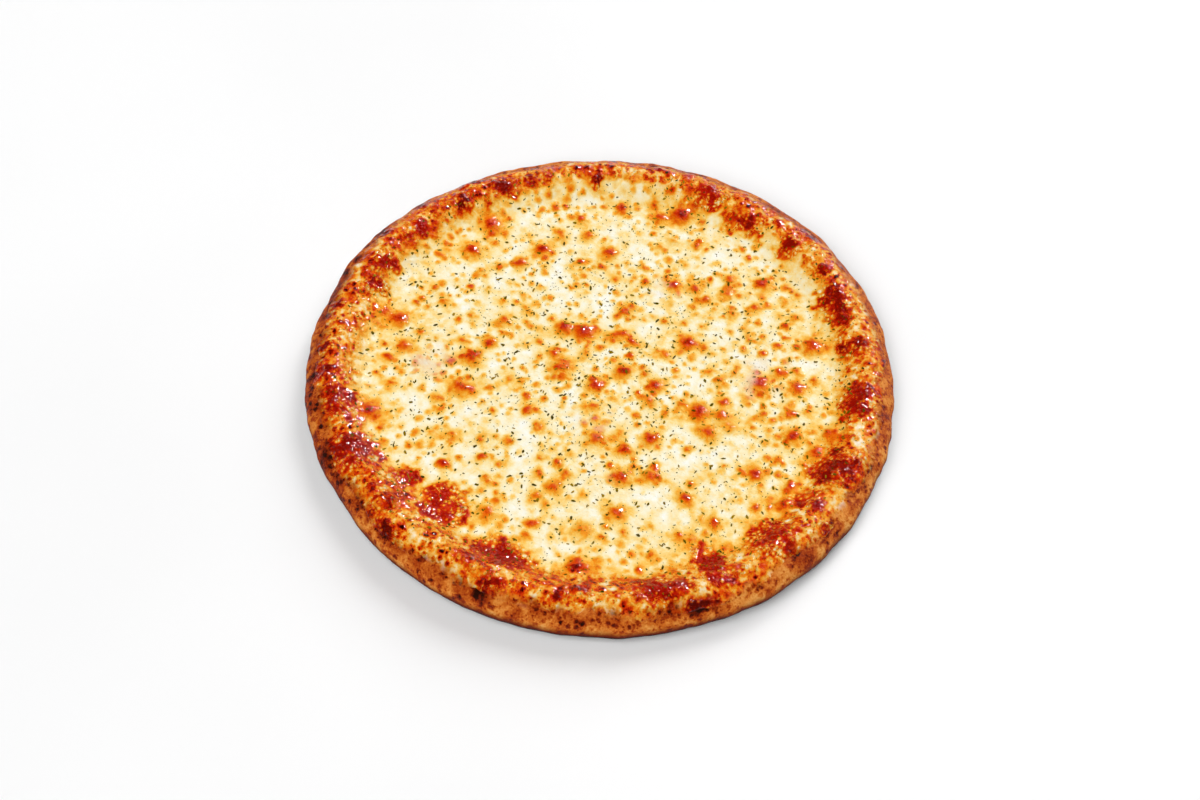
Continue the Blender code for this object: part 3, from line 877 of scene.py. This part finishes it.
def crust_material():
    """Dry baked dough: orange-tan with brown speckles, and nearly black at the foot of its side, partly
    scorched and partly painted contact shade.
    """
    n = Nodes("baked_crust")
    browned, z = dough_level(n)
    # The foot's darkness is partly scorched dough and partly painted contact shade where the side meets the
    # floor.
    scorched_and_shaded_foot = n.math("ADD", n.remap(z, 0.0048, 0.0078, 1.0, 0.76), n.math("MULTIPLY", browned, 0.14))
    distance = n.add("ShaderNodeVectorMath", operation="LENGTH")
    n.link(n.coordinates(), distance.inputs[0])
    on_foot = n.remap(distance.outputs["Value"], FOOT_START, FOOT_FULL, 0.0, 1.0)
    on_foot = n.math("MULTIPLY", on_foot, n.remap(z, 0.0070, 0.0118, 1.0, 0.0))
    colour = n.mix(on_foot, n.ramp(browned, DOUGH_STOPS), n.ramp(scorched_and_shaded_foot, DOUGH_STOPS))
    n.link(colour, n.shader.inputs["Base Color"])
    n.link(n.remap(browned, 0.2, 0.9, 0.75, 0.50), n.shader.inputs["Roughness"])
    n.shader.inputs["Specular IOR Level"].default_value = 0.10
    flour = n.bump(n.texture_noise(1300, 3, 0.6), 0.0005, 0.6)
    n.link(n.bump(n.texture_noise(330, 4, 0.6), 0.0014, 0.6, flour), n.shader.inputs["Normal"])
    return n.material


def herb_material():
    """Dried leaf scraps from olive to nearly black."""
    n = Nodes("herb_flakes")
    shade = n.attribute("shade")
    veins = n.math("MULTIPLY", n.math("SUBTRACT", n.texture_noise(2600, 2), 0.5), 0.5)
    n.link(n.ramp(n.math("ADD", shade, veins, clamp=True), HERB_STOPS), n.shader.inputs["Base Color"])
    n.link(n.remap(shade, 0.0, 1.0, 0.65, 0.85), n.shader.inputs["Roughness"])
    n.shader.inputs["Specular IOR Level"].default_value = 0.03
    n.link(n.bump(n.texture_noise(2200, 2), 0.0003, 0.6), n.shader.inputs["Normal"])
    return n.material


def floor_material():
    n = Nodes("floor")
    tone = n.remap(n.texture_noise(3, 2), 0.3, 0.7, 0.0, 1.0)
    n.link(n.mix(tone, srgb(*FLOOR_DARKEST), srgb(*FLOOR_LIGHTEST)), n.shader.inputs["Base Color"])
    n.shader.inputs["Roughness"].default_value = 0.7
    return n.material


def add_floor():
    mesh = bpy.data.meshes.new("floor")
    side = FLOOR_HALF_SIDE
    corners = [(-side, -side, 0), (side, -side, 0), (side, side, 0), (-side, side, 0)]
    mesh.from_pydata(corners, [], [(0, 1, 2, 3)])
    mesh.materials.append(floor_material())
    floor = bpy.data.objects.new("floor", mesh)
    floor.location.z = -FLOOR_DROP
    bpy.context.scene.collection.objects.link(floor)


def add_light(name, place, spread, power, diffuse=True, glossy=True):
    """An even light from the direction of place, soft by its spread, on colours, on gloss or on both."""
    light = bpy.data.lights.new(name, "SUN")
    light.angle = math.radians(spread)
    light.energy = power
    lamp = bpy.data.objects.new(name, light)
    lamp.rotation_euler = (-Vector(place)).to_track_quat("-Z", "Y").to_euler()
    lamp.visible_diffuse = diffuse
    lamp.visible_glossy = glossy
    bpy.context.scene.collection.objects.link(lamp)


def add_lights():
    """A key from behind on the right, its gleam on oily spots, a broad fill and white surroundings."""
    add_light("key", BEHIND, KEY_SPREAD, KEY_POWER, glossy=False)
    add_light("gleam", BEHIND, GLEAM_SPREAD, GLEAM_POWER, diffuse=False)
    add_light("fill", IN_FRONT, FILL_SPREAD, FILL_POWER, glossy=False)
    world = bpy.data.worlds.new("studio")
    bpy.context.scene.world = world
    world.use_nodes = True
    nodes = world.node_tree.nodes
    seen = nodes.new("ShaderNodeLightPath")
    strength = nodes.new("ShaderNodeMapRange")
    strength.inputs["To Min"].default_value = SURROUNDINGS_LIGHT
    strength.inputs["To Max"].default_value = 1.0
    background = nodes["Background"]
    background.inputs["Color"].default_value = (1, 1, 1, 1)
    world.node_tree.links.new(seen.outputs["Is Camera Ray"], strength.inputs["Value"])
    world.node_tree.links.new(strength.outputs["Result"], background.inputs["Strength"])
    world.cycles_visibility.glossy = False


def add_camera():
    """The camera looks down at the pizza from the near side, slightly rolled."""
    target = Vector(CAMERA_TARGET)
    camera = bpy.data.cameras.new("camera")
    camera.lens = CAMERA_LENS
    camera.sensor_width = 36
    camera.clip_start = 0.01
    towards = Vector((0, -math.cos(CAMERA_ELEVATION), math.sin(CAMERA_ELEVATION)))
    place = target + CAMERA_DISTANCE * towards
    looking = (target - place).to_track_quat("-Z", "Y").to_matrix().to_4x4()
    holder = bpy.data.objects.new("camera", camera)
    holder.matrix_world = Matrix.Translation(place) @ looking @ Matrix.Rotation(CAMERA_ROLL, 4, "Z")
    bpy.context.scene.collection.objects.link(holder)
    bpy.context.scene.camera = holder


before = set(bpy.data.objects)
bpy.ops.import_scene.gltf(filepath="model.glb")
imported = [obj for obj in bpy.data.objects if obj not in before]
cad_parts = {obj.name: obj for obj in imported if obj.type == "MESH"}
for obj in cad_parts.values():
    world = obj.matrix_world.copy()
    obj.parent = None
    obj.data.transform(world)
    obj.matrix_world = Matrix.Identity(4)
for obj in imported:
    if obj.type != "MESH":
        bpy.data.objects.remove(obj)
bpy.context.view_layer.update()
bpy.context.scene.view_settings.view_transform = "Standard"
blisters = scatter_blisters()
build_crust(crust_material())
build_cheese(cheese_material(), blisters)
build_flakes(herb_material(), blisters)
add_floor()
add_lights()
add_camera()
